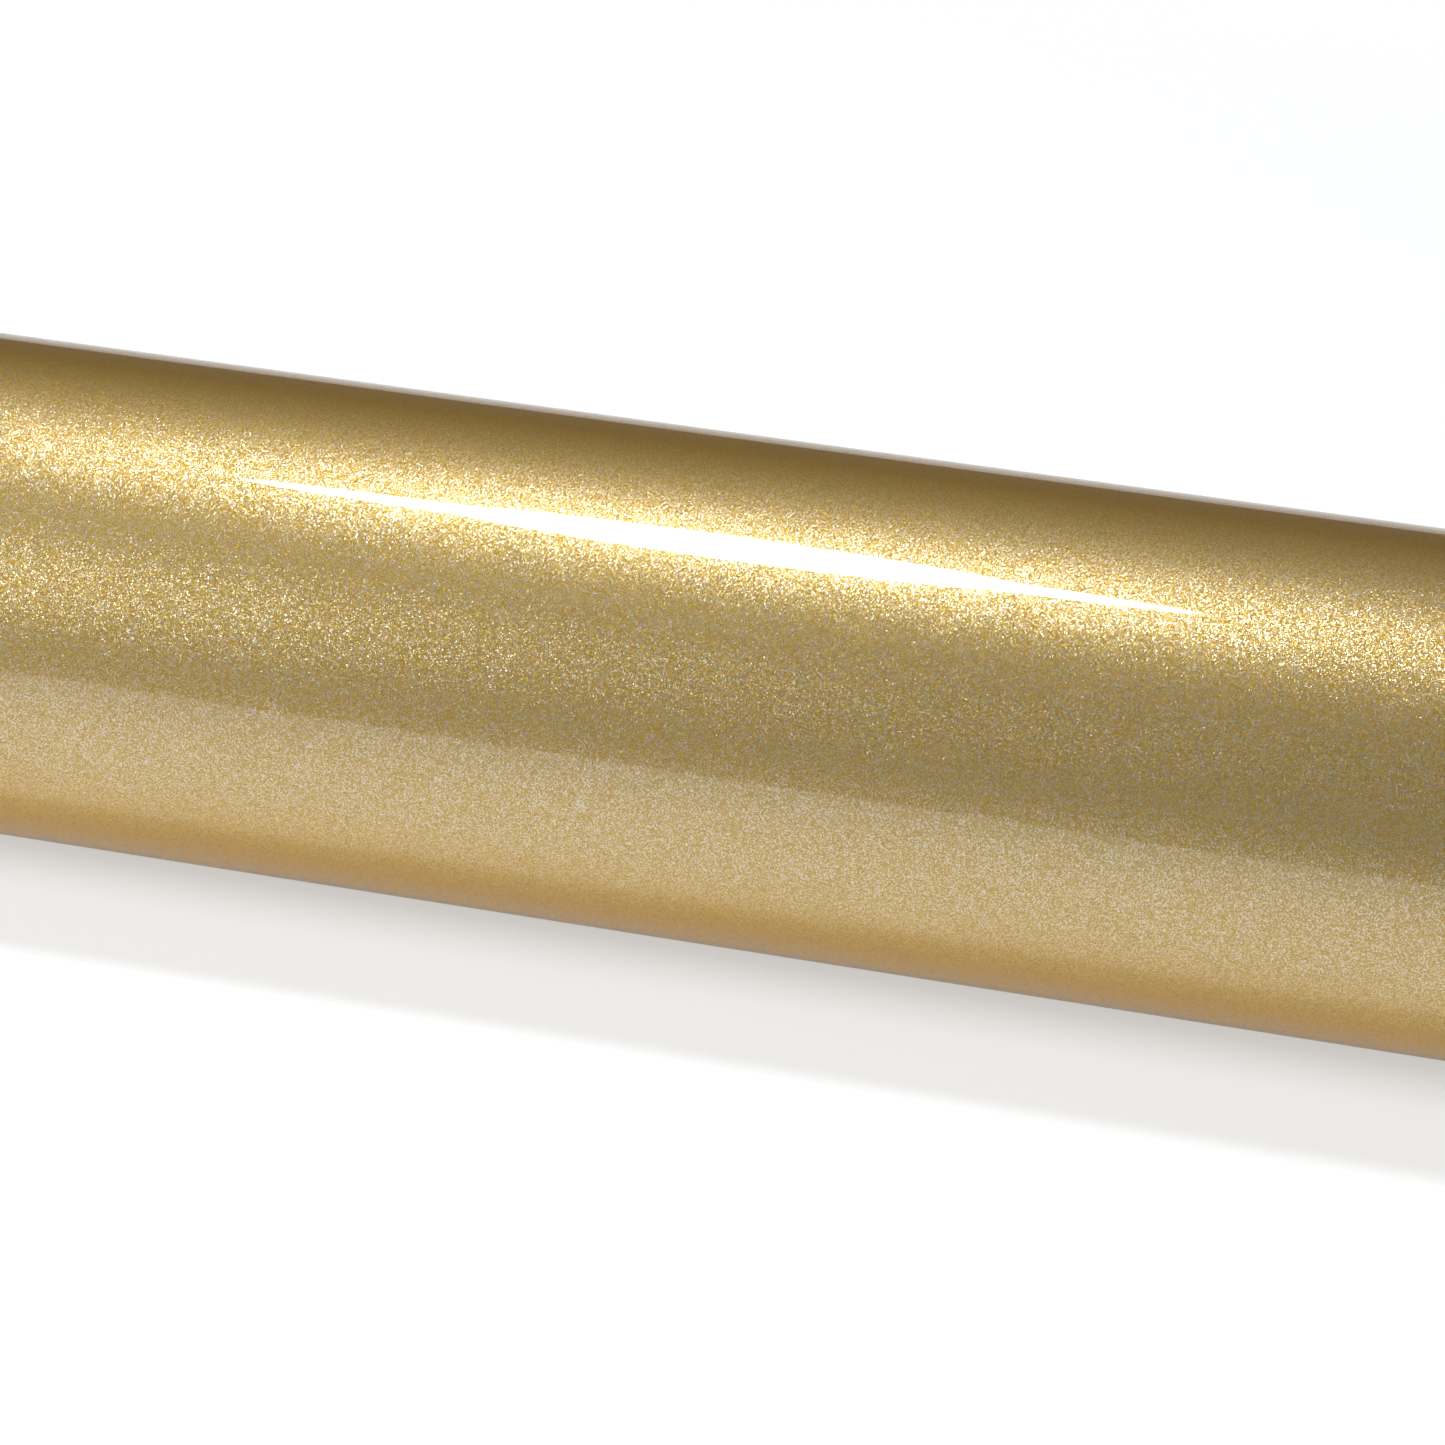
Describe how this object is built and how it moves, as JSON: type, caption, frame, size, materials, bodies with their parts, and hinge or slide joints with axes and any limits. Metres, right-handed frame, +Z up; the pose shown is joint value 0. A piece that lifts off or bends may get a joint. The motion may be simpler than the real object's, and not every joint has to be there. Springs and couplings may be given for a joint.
{
  "type": "roll of sign vinyl",
  "caption": "Roll of self-adhesive gold metallic sign vinyl on its release liner, wound film side out on a spiral paper core, with its free end taped down.",
  "frame": {"origin": "on the core's axis, halfway along the roll", "axes": "+X along the core's axis, -Y towards the front, +Z up; the free end is at the back (+Y)"},
  "size_m": [0.616, 0.1048, 0.1046],
  "materials": {
    "core_paper": "matte",
    "double_sided_tape": "matte",
    "liner_paper": "satin",
    "adhesive": "satin",
    "gold_film": "metallic gloss",
    "tab_tape": "matte"
  },
  "bodies": {
    "roll": {"core_inner_ply": "core_paper", "core_body_ply_1": "core_paper", "core_body_ply_2": "core_paper", "core_body_ply_3": "core_paper", "core_body_ply_4": "core_paper", "core_body_ply_5": "core_paper", "core_body_ply_6": "core_paper", "core_body_ply_7": "core_paper", "core_body_ply_8": "core_paper", "core_outer_ply": "core_paper", "starter_tape": "double_sided_tape", "release_liner": "liner_paper", "adhesive_layer": "adhesive", "vinyl_film": "gold_film"},
    "free_end": {"tail_liner": "liner_paper", "tail_adhesive": "adhesive", "tail_film": "gold_film", "tail_tape_left": "tab_tape", "tail_tape_middle": "tab_tape", "tail_tape_right": "tab_tape"}
  },
  "joints": [
    {"name": "free_end_lift", "type": "hinge", "parent": "roll", "child": "free_end", "pos_m": [0, 0.04539, 0.02621], "axis": [1, 0, 0], "range_deg": [0, 60]}
  ]
}
